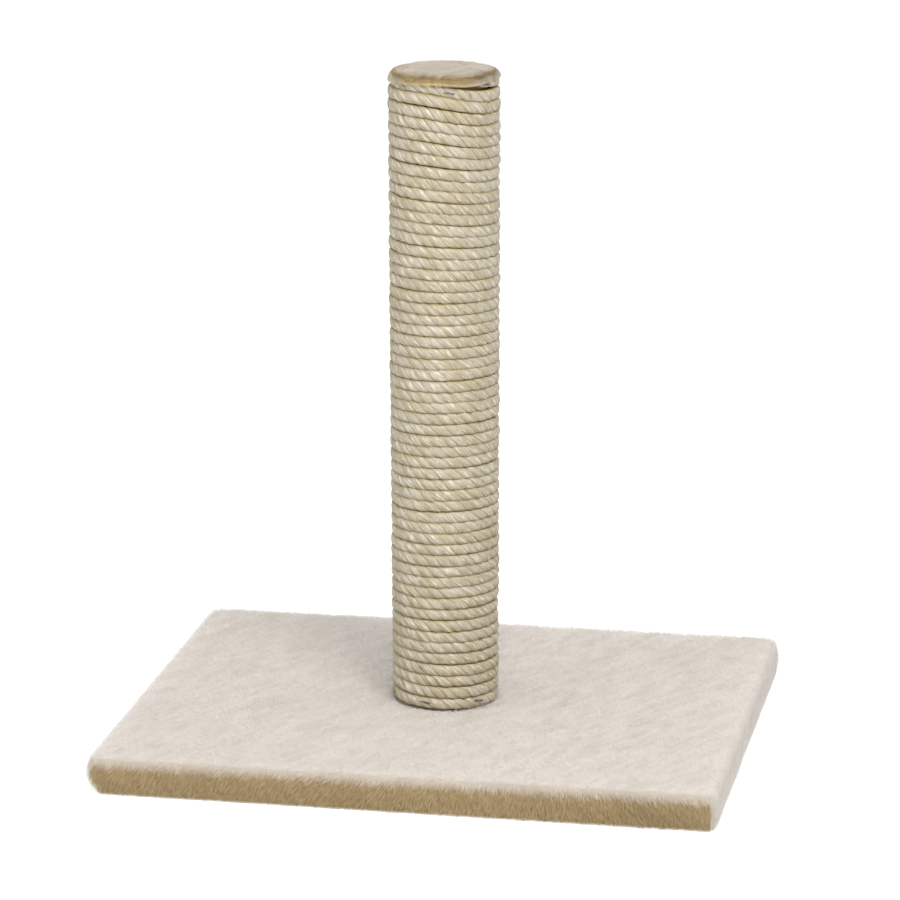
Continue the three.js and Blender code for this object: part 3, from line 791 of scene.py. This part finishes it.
def painted_paleness(points, normals, levels, uneven=0.0):
    """Painted light and shade on the pile as a share of pale, by height and the way it faces: 1
    above the levels, by 0.45 less where it faces the front and by 0.16 less at the ends; below
    them 0.04 on the front and back, 0.82 at the ends and 0.5 under the board."""
    upper = ease(points[:, 2] + uneven * (levels[1] - levels[0]), *levels)
    upper = upper * (1 - 0.45 * ease(-normals[:, 1], 0, 0.7))
    upper = upper * (1 - 0.16 * ease(np.abs(normals[:, 0]), 0.3, 0.9))
    ends = 0.04 + 0.78 * ease(np.abs(normals[:, 0]), 0.45, 0.85)
    ends = np.maximum(ends, 0.5 * ease(-normals[:, 2], 0.6, 0.95))
    return ends * (1 - upper) + upper


def pile_blades(rng, roots, normals, settings, levels, length, width, lean):
    """Pile as narrow blades of three triangles.

    A blade leaves its root leaning from the normal towards the nap by 0.6 of its lean, then
    bends over to 1.3 of it, and is rolled about its own axis. The nap's direction wanders in
    patches and from blade to blade, and fans out by 52 degrees on the right of the front. The
    pile leans less where it is painted dark, and by 22 degrees more at the back. Lean, length
    and the kept tone run in streaks along the nap, the dark streaks partly painted shadow
    between tufts. All pieces of pile share the same streaks and patches. The kept tone falls as
    painted shade at the ends, at the foot and along the front edge; the cap's pile is painted
    lighter by it and is less pale.
    """
    count, on_cap = len(roots), roots[:, 2] > (TUBE_LOW.z + TUBE_HIGH.z) / 2
    turn = math.radians(settings.nap_heading)
    heading = np.array([math.cos(turn), math.sin(turn), 0])
    nap = nap_direction(normals, heading)
    nap = unit(nap - np.einsum("ij,ij->i", nap, normals)[:, None] * normals)
    x, y = roots[:, 0] + 0.6 * roots[:, 2], roots[:, 1] - 0.8 * roots[:, 2]
    along, across = x * heading[0] + y * heading[1], y * heading[0] - x * heading[1]
    shared = default_rng(17)

    def patches(size):
        return ripple(shared, x, y, size)

    def streaks(stretch, size):
        return ripple(shared, along / stretch, across, size)

    wander = 11 * patches(0.03) + 6 * patches(0.007) + rng.normal(0, 5, count)
    fan = ease(roots[:, 0], -0.06, 0.2) * ease(-normals[:, 1], 0.3, 0.95)
    wander = np.radians(wander + 52 * fan)[:, None]
    side = np.cross(normals, nap)
    cosine, sine = np.cos(wander), np.sin(wander)
    nap, side = nap * cosine + side * sine, side * cosine - nap * sine
    uneven = 0.14 * patches(0.007) + 0.16 * streaks(2, 0.0025)
    # Painted light and shade: the share of pale by height and facing, 0.3 lower on the cap.
    pale = painted_paleness(roots, normals, levels, uneven) * (1 - 0.3 * on_cap)
    tilt = settings.upright_lean + (settings.lean - settings.upright_lean) * pale + lean
    streak = 0.6 * streaks(5, 0.0034) + 0.4 * streaks(4, 0.0017)
    tilt = tilt + 14 * streak + rng.normal(0, 4, count)
    tilt = tilt + 22 * ease(normals[:, 1], 0.1, 0.7)
    length = length * (1 + 0.16 * streaks(2.5, 0.004) + rng.normal(0, 0.1, count))[:, None]
    width = width * rng.uniform(0.6, 1.2, (count, 1)) / 2
    low, high = np.radians(0.6 * tilt)[:, None], np.radians(1.3 * tilt)[:, None]
    rising = normals * np.cos(low) + nap * np.sin(low)
    bending = normals * np.cos(high) + nap * np.sin(high)
    roll = np.radians(rng.normal(0, 22, (count, 1)))
    side = (side * np.cos(roll) + np.cross(bending, side) * np.sin(roll)) * width
    middle = roots + 0.5 * length * rising
    tip = middle + 0.5 * length * bending
    corners = [roots - side, roots + side, middle - 0.85 * side, middle + 0.85 * side, tip]
    points = np.stack(corners, axis=1)
    points[:, :, 2] = np.maximum(points[:, :, 2], 0.0004)
    first = 5 * np.arange(count)[:, None]
    faces = [first + [1, 0, 2, 3], first + [3, 2, 4]]
    # Kept tone: random tone plus painted shade, in streaks for shadows between tufts, darker at the
    # ends, the foot and the front edge, and lighter on the cap.
    tone_and_shade = 0.7 + 0.75 * streak + 0.12 * streaks(3, 0.016) + rng.uniform(-0.08, 0.08, count)
    tone_and_shade = tone_and_shade - 0.7 * ease(np.abs(normals[:, 0]), 0.2, 0.8)
    tone_and_shade = tone_and_shade - 0.5 * (1 - ease(roots[:, 2], 0.0005, 0.0060))
    tone_and_shade = tone_and_shade - 0.3 * ease(-roots[:, 1], 0.187, 0.2) + 0.4 * on_cap
    values = {
        "tip": np.tile([0.0, 0.0, 0.55, 0.55, 1.0], count),
        "tone_and_shade": np.repeat(np.clip(tone_and_shade, 0, 1), 5),
        # The nap value carries the share of painted light and shade.
        "nap": np.repeat(np.clip(pale + rng.uniform(-0.1, 0.1, count), 0, 1), 5),
    }
    return points.reshape(-1, 3), faces, values


def cloth_values(grid, levels):
    """The backing's own share of painted light and shade, and an even tone of 0.6."""
    pale = painted_paleness(grid.reshape(-1, 3), surface_normals(grid).reshape(-1, 3), levels)
    return {"nap": pale, "tone_and_shade": np.full(len(pale), 0.6)}


def add_pile(name, rng, grid, count, settings, material, levels, length, width, lean=0.0,
             keep=None):
    """A piece of pile strewn over part of a cloth, on the roots that a test keeps."""
    roots, normals = scattered(rng, grid, count)
    if keep is not None:
        chosen = keep(roots)
        roots, normals = roots[chosen], normals[chosen]
    points, faces, values = pile_blades(rng, roots, normals, settings, levels, length, width, lean)
    return add_piece(name, points, faces, material, values)


def cap_surface(radius, angle):
    """The height of the cap's cloth on top: crowned, with a soft hollow round its middle, three
    low waves round its rim, one of them at the right, and a shallow dip in the rim's front."""
    share = radius / CAP_RADIUS
    height = DISC_HIGH.z + 0.0007 + 0.0004 * (1 - share**2)
    height = height + 0.0004 * np.cos(3 * angle) * share - 0.0004 * np.exp(-((radius / 0.014) ** 2))
    front = np.cos(angle + np.radians(93))
    return height - 0.0004 * ease(front, 0.75, 1) * ease(share, 0.45, 0.8)


def cap_cloth():
    """The cap's backing as a closed grid: rows along its section, columns round it.

    The section runs from near the middle out over the top, down an elliptic edge 9 mm wide
    to the skirt's foot, which hangs lowest at the left side and over the rope's start, then
    back inside under the top to the middle.
    """
    columns = 240
    angle = np.linspace(0, 2 * np.pi, columns, endpoint=False)
    side, edge = CAP_RADIUS + 0.0002, 0.0092
    foot, under, over = CAP_LOW.z - 0.0014, CAP_LOW.z + 0.0003, DISC_HIGH.z + 0.0003
    foot = foot - (0.0017 - 0.0007 * np.cos(angle)) * np.cos(angle) ** 2
    foot = foot - 0.0014 * np.exp(14 * (np.cos(angle + np.radians(52)) - 1))
    radii = np.linspace(0.0004, side - edge, 18)
    rows = [(radius, cap_surface(radius, angle)) for radius in radii]
    rim = rows[-1][1]
    for turn in np.radians(np.linspace(0, 90, 16))[1:]:
        rows.append((side - edge * (1 - math.sin(turn)), foot + (rim - foot) * math.cos(turn)))
    shown = len(rows)
    lip, inner = side - 0.0006, DISC_RADIUS + 0.0003
    rows += [(lip, foot), (lip, under), (inner, under), (inner, over)]
    rows += [(radius, over) for radius in (0.030, 0.020, 0.010, 0.0004)]
    radius, height = (np.stack([np.broadcast_to(row[i], columns) for row in rows])
                      for i in (0, 1))
    return round_post(angle[None, :], radius, height), shown


# ---------------------------------------------------------------- settings


def setting(name, description, default, low, high, kind=FloatProperty, **more):
    """A value that a user may change, within its range."""
    return kind(name=name, description=description, default=default, min=low, max=high, **more)


def length(*values):
    """A setting that is a length in metres."""
    return setting(*values, unit="LENGTH")


def count(*values):
    """A setting that is a number of pieces."""
    return setting(*values, kind=IntProperty)


def colour(name, description, *channels):
    """A setting that is a colour, its default from 0 to 255 a channel."""
    vector = {"kind": FloatVectorProperty, "size": 3, "subtype": "COLOR"}
    return setting(name, description, paint(*channels), 0, 1, **vector)


class RopeSettings(PropertyGroup):
    """Sizes and colours of the sisal rope."""

    lay: length("Lay", "Length of rope in which a strand turns once", 0.026, 0.01, 0.06)
    radius: length("Radius", "Radius of the rope over its strands", 0.0042, 0.001, 0.01)
    depth: length("Strand depth", "Depth of the dips between two strands", 0.0007, 0, 0.002)
    hairs: count("Loose hairs", "Number of hairs that stand off the winding", 1300, 0, 5000)
    pale: colour("Pale fibre", "Colour of the clean fibre", 191, 183, 167)
    warm: colour("Warm fibre", "Colour of the yellower fibre", 178, 167, 143)
    shade: colour("Fibre shade", "Colour between the fibres", 152, 138, 94)
    # Colour of the painted highlights on the strands.
    painted_glint: colour("Glints", "Colour of the short bright streaks in the fibre", 228, 222, 206)
    # Colour of the painted shade deep between strands and turns.
    groove_shade: colour("Groove", "Colour deep between strands and turns", 170, 147, 66)
    stain: colour("Spots", "Colour of the dark spots in the fibre", 84, 62, 38)


class PlushSettings(PropertyGroup):
    """Sizes and colours of the plush."""

    pile_length: length("Pile length", "Length of the pile's fibres", 0.0050, 0.001, 0.02)
    blade_width: length("Fibre width", "Width of a bunch of fibres", 0.00036, 0.0001, 0.002)
    lean: setting(
        "Lean", "Angle from upright of the pile that lies flat, in degrees", 66, 0, 80)
    upright_lean: setting(
        "Standing lean", "Angle of the pile on the front and back, in degrees", 52, 0, 80)
    nap_heading: setting("Nap", "Angle of the nap from the right, in degrees", -116, -180, 180)
    top_blades: count(
        "Fibres on top", "Number of blades in each of the top's four pieces", 57000, 1000, 66000)
    side_blades: count(
        "Fibres on the sides", "Number of blades in each of the sides' two pieces",
        66000, 1000, 66000)
    cap_blades: count("Fibres on the cap", "Number of blades on the cap", 52000, 1000, 66000)
    sheen: setting("Sheen", "Strength of the soft shine at a flat view", 0.25, 0, 1)
    # The pale pair colours the pile where it is painted lit; the shaded pairs below are painted
    # shade.
    pale_tip: colour("Pale tip", "Colour of the tips where the nap lies flat", 254, 252, 250)
    pale_root: colour("Pale root", "Colour of the roots where the nap lies flat", 249, 245, 240)
    # Painted shade: the tan of the pile on the front, where it is seen end on.
    shaded_tip: colour(
        "Deep tip", "Colour of the tips where the pile is seen end on", 199, 175, 130)
    shaded_root: colour(
        "Deep root", "Colour of the roots where the pile is seen end on", 166, 141, 93)
    # Painted shade of the cap's pile on its front band.
    cap_shaded_tip: colour(
        "Cap tip", "Colour of the cap's tips where the pile is seen end on", 222, 198, 138)
    cap_shaded_root: colour(
        "Cap root", "Colour of the cap's roots where the pile is seen end on", 194, 170, 108)
    through: colour("Glow", "Colour of the light that the fibres let through", 253, 251, 249)


class StageSettings(PropertyGroup):
    """Camera and light."""

    azimuth: setting(
        "Azimuth", "Angle of the camera to the right of the front, in degrees",
        10.776, -180, 180)
    elevation: setting(
        "Elevation", "Angle of the camera above the floor, in degrees", 14.091, -89, 89)
    distance: length("Distance", "Distance of the camera from its target", 3.1155, 0.1, 20)
    lens: setting(
        "Lens", "Focal length on a 36 mm wide picture", 166.21, 10, 500, unit="CAMERA")
    target: FloatVectorProperty(
        name="Target", description="The point that the camera looks at",
        default=(-0.00065, 0.0, 0.21966), size=3, subtype="XYZ", unit="LENGTH")
    key_power: setting(
        "Key lamp", "Power of the large lamp above the front right, in watts", 84, 0, 1000)
    fill_power: setting(
        "Fill lamp", "Power of the lamp at the front left, in watts", 18, 0, 1000)
    ambient: setting(
        "Ambient light", "Strength of the even light from all round", 0.6, 0, 2)


# ---------------------------------------------------------------- operators


class WindRope(Operator):
    """Wind the three-strand sisal rope round the tube"""

    bl_idname = "scratching_post.wind_rope"
    bl_label = "Wind Rope"

    def execute(self, context):
        settings = context.scene.post_rope
        material = sisal_finish(settings)
        strands = [wind_strand(number, settings, material) for number in range(3)]
        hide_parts("sisal_rope")
        return {"FINISHED"}


class FrayRope(Operator):
    """Add the rope's loose hairs and its frayed cut end"""

    bl_idname = "scratching_post.fray_rope"
    bl_label = "Fray Rope"

    def execute(self, context):
        settings = context.scene.post_rope
        material = hair_finish(settings)
        points, faces = hair_tubes(*loose_hairs(settings))
        add_piece("rope_loose_hairs", points, faces, material)
        points, faces = hair_tubes(*cut_end_hairs())
        add_piece("rope_cut_end", points, faces, material)
        return {"FINISHED"}


class CoverBase(Operator):
    """Wrap the board in plush: the backing sheet with its hem, and the pile on it"""

    bl_idname = "scratching_post.cover_base"
    bl_label = "Cover Base"

    def execute(self, context):
        settings = context.scene.post_plush
        # The pile's painted shade colours, roots and tips.
        deep = settings.shaded_root, settings.shaded_tip
        backing = plush_finish("plush_backing", settings, deep, backing=True)
        material = plush_finish("plush_pile", settings, deep)
        grid, outer, shown = base_cloth()
        points = grid.reshape(-1, 3)
        faces = turned_outwards(points, [grid_faces(*grid.shape[:2], loop_rows=True)])
        values = cloth_values(grid, BASE_LEVELS)
        cloth = add_piece("base_plush_backing", points, faces, backing, values)
        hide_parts("base_plush")

        def off_post(roots):
            return np.hypot(roots[:, 0] - POST_X, roots[:, 1]) > BARE_RADIUS

        top, sides = grid[: outer - 3], grid[outer - 4 : shown - 7]
        width = settings.blade_width
        plans = (
            ("top", 4, 100, top, settings.top_blades, width, off_post),
            ("sides", 2, 200, sides, settings.side_blades, 0.8 * width, None),
        )
        for place, pieces, seed, part, blades, wide, keep in plans:
            for number in range(pieces):
                add_pile(
                    f"base_pile_{place}_{number + 1}", default_rng(seed + number), part, blades,
                    settings, material, BASE_LEVELS, settings.pile_length, wide, keep=keep)
        return {"FINISHED"}


class CoverCap(Operator):
    """Lay the plush cap over the post's top end"""

    bl_idname = "scratching_post.cover_cap"
    bl_label = "Cover Cap"

    def execute(self, context):
        settings = context.scene.post_plush
        # The cap's painted shade colours, roots and tips.
        deep = settings.cap_shaded_root, settings.cap_shaded_tip
        backing = plush_finish("plush_cap_backing", settings, deep, backing=True)
        material = plush_finish("plush_cap_pile", settings, deep)
        grid, shown = cap_cloth()
        rows, columns = grid.shape[:2]
        ends = [grid[0].mean(0)[None], grid[-1].mean(0)[None]]
        points = np.concatenate([grid.reshape(-1, 3), *ends])
        middle, last = rows * columns, (rows - 1) * columns
        ring = np.arange(columns)
        after = (ring + 1) % columns
        top = np.stack([ring, after, np.full(columns, middle)], axis=-1)
        low = np.stack([last + after, last + ring, np.full(columns, middle + 1)], axis=-1)
        walls = grid_faces(rows, columns)[:, ::-1]
        faces = turned_outwards(points, [walls, np.concatenate([top, low])])
        values = cloth_values(grid, CAP_LEVELS)
        values = {key: np.concatenate([part, part[[0, -1]]]) for key, part in values.items()}
        cloth = add_piece("cap_plush_backing", points, faces, backing, values)
        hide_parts("top_plush")
        rng = default_rng(300)
        plans = (
            ("cap_pile", grid[:shown], settings.cap_blades, CAP_LEVELS, CAP_BLADE),
            ("cap_fringe", grid[shown - 3 : shown], FRINGE_BLADES, FRINGE_LEVELS, FRINGE_BLADE),
        )
        pile = [add_pile(name, rng, part, blades, settings, material, levels, *blade)
                for name, part, blades, levels, blade in plans]
        return {"FINISHED"}


class FinishParts(Operator):
    """Give the board, tube, plugs, disc, bolt, nails and staples their finishes"""

    bl_idname = "scratching_post.finish_parts"
    bl_label = "Finish Parts"

    def execute(self, context):
        zinc = metal_finish("zinc_plating", paint(226, 228, 230), paint(186, 190, 194), 0.28)
        wire = metal_finish("galvanised_wire", paint(128, 130, 130), paint(88, 90, 90), 0.45)
        finishes = {
            "chipboard": chipboard_finish(),
            "cardboard": cardboard_finish(),
            "softwood": softwood_finish(),
            "hardboard": hardboard_finish(),
            "zinc_steel": zinc,
            "staple_wire": wire,
        }
        replaced = {"base_plush", "top_plush", "sisal_rope"}
        for part in frame["record"]["subparts"]:
            if part["node"] not in replaced:
                node = frame["nodes"][part["node"]]
                node.material_slots[0].material = finishes[part["material_slot"]]
        return {"FINISHED"}


class SetStage(Operator):
    """Set up the floor, the light and the camera"""

    bl_idname = "scratching_post.set_stage"
    bl_label = "Set Stage"

    def execute(self, context):
        settings = context.scene.post_stage
        self.add_floor()
        self.add_world(context.scene, settings)
        self.add_lamp("key_lamp", (0.9, -1.9, 2.7), 1.8, settings.key_power)
        self.add_lamp("fill_lamp", (-2.4, -2.2, 1.2), 1.6, settings.fill_power)
        self.add_camera(context.scene, settings)
        context.scene.view_settings.view_transform = "Standard"
        return {"FINISHED"}

    def add_floor(self):
        mesh = bpy.data.meshes.new("floor")
        half, glow = 6.0, 0.5
        corners = [(-half, -half, 0), (half, -half, 0), (half, half, 0), (-half, half, 0)]
        mesh.from_pydata(corners, [], [(0, 1, 2, 3)])
        floor = add_object("floor", mesh)
        finish = new_finish("pale_floor")
        direct = self.seen_directly(finish)
        light = {"Color": (1, 1, 1), "Strength": direct * glow}
        sockets = {
            0: finish.node("ShaderNodeBsdfDiffuse", None, {"Color": (0.86, 0.86, 0.86)}),
            1: finish.node("ShaderNodeEmission", None, light),
        }
        both = finish.node("ShaderNodeAddShader", None, sockets)
        finish.node("ShaderNodeOutputMaterial", None, {"Surface": both})
        mesh.materials.append(finish.owner)

    def seen_directly(self, finish):
        """1 where the camera, a reflection or glass looks at it, and 0 for light on the object."""
        path = {name: finish.node("ShaderNodeLightPath", output=name)
                for name in ("Is Camera Ray", "Is Glossy Ray", "Is Transmission Ray")}
        total = path["Is Camera Ray"] + path["Is Glossy Ray"] + path["Is Transmission Ray"]
        return total.math("MINIMUM", total, 1.0)

    def add_world(self, scene, settings):
        world = bpy.data.worlds.new("studio")
        scene.world = world
        finish = Finish(world)
        direct = self.seen_directly(finish)
        strength = direct * (1 - settings.ambient) + settings.ambient
        sockets = {"Color": (1, 1, 1), "Strength": strength}
        background = finish.node("ShaderNodeBackground", None, sockets)
        finish.node("ShaderNodeOutputWorld", None, {"Surface": background})

    def add_lamp(self, name, place, size, power):
        lamp = bpy.data.lights.new(name, "AREA")
        lamp.size = size
        lamp.energy = power
        holder = add_object(name, lamp)
        holder.location = place
        towards = Vector((0, 0, 0.2)) - Vector(place)
        holder.rotation_euler = towards.to_track_quat("-Z", "Y").to_euler()

    def add_camera(self, scene, settings):
        across, up = math.radians(settings.azimuth), math.radians(settings.elevation)
        flat = math.cos(up)
        back = Vector((math.sin(across) * flat, -math.cos(across) * flat, math.sin(up)))
        camera = bpy.data.cameras.new("camera")
        camera.lens = settings.lens
        camera.sensor_width = 36
        camera.clip_end = 50
        holder = add_object("camera", camera)
        holder.location = Vector(settings.target) + back * settings.distance
        holder.rotation_euler = (-back).to_track_quat("-Z", "Y").to_euler()
        scene.camera = holder


class PostPanel(Panel):
    """The steps that make the post, in order, with their settings"""

    bl_label = "Scratching Post"
    bl_idname = "VIEW3D_PT_scratching_post"
    bl_space_type = "VIEW_3D"
    bl_region_type = "UI"
    bl_category = "Scratching Post"

    def draw(self, context):
        for step in STEPS:
            self.layout.operator(step.bl_idname)
        for group in (context.scene.post_rope, context.scene.post_plush, context.scene.post_stage):
            box = self.layout.box()
            for name in group.__annotations__:
                box.prop(group, name)


SETTINGS = {"post_rope": RopeSettings, "post_plush": PlushSettings, "post_stage": StageSettings}
STEPS = (WindRope, FrayRope, CoverBase, CoverCap, FinishParts, SetStage)


def register():
    for kind in (*SETTINGS.values(), *STEPS, PostPanel):
        bpy.utils.register_class(kind)
    for name, kind in SETTINGS.items():
        setattr(bpy.types.Scene, name, PointerProperty(type=kind))


def unregister():
    for name in SETTINGS:
        delattr(bpy.types.Scene, name)
    for kind in (PostPanel, *reversed(STEPS), *SETTINGS.values()):
        bpy.utils.unregister_class(kind)


def main():
    register()
    bpy.ops.scratching_post.wind_rope()
    bpy.ops.scratching_post.fray_rope()
    bpy.ops.scratching_post.cover_base()
    bpy.ops.scratching_post.cover_cap()
    bpy.ops.scratching_post.finish_parts()
    bpy.ops.scratching_post.set_stage()


if __name__ == "__main__":
    main()
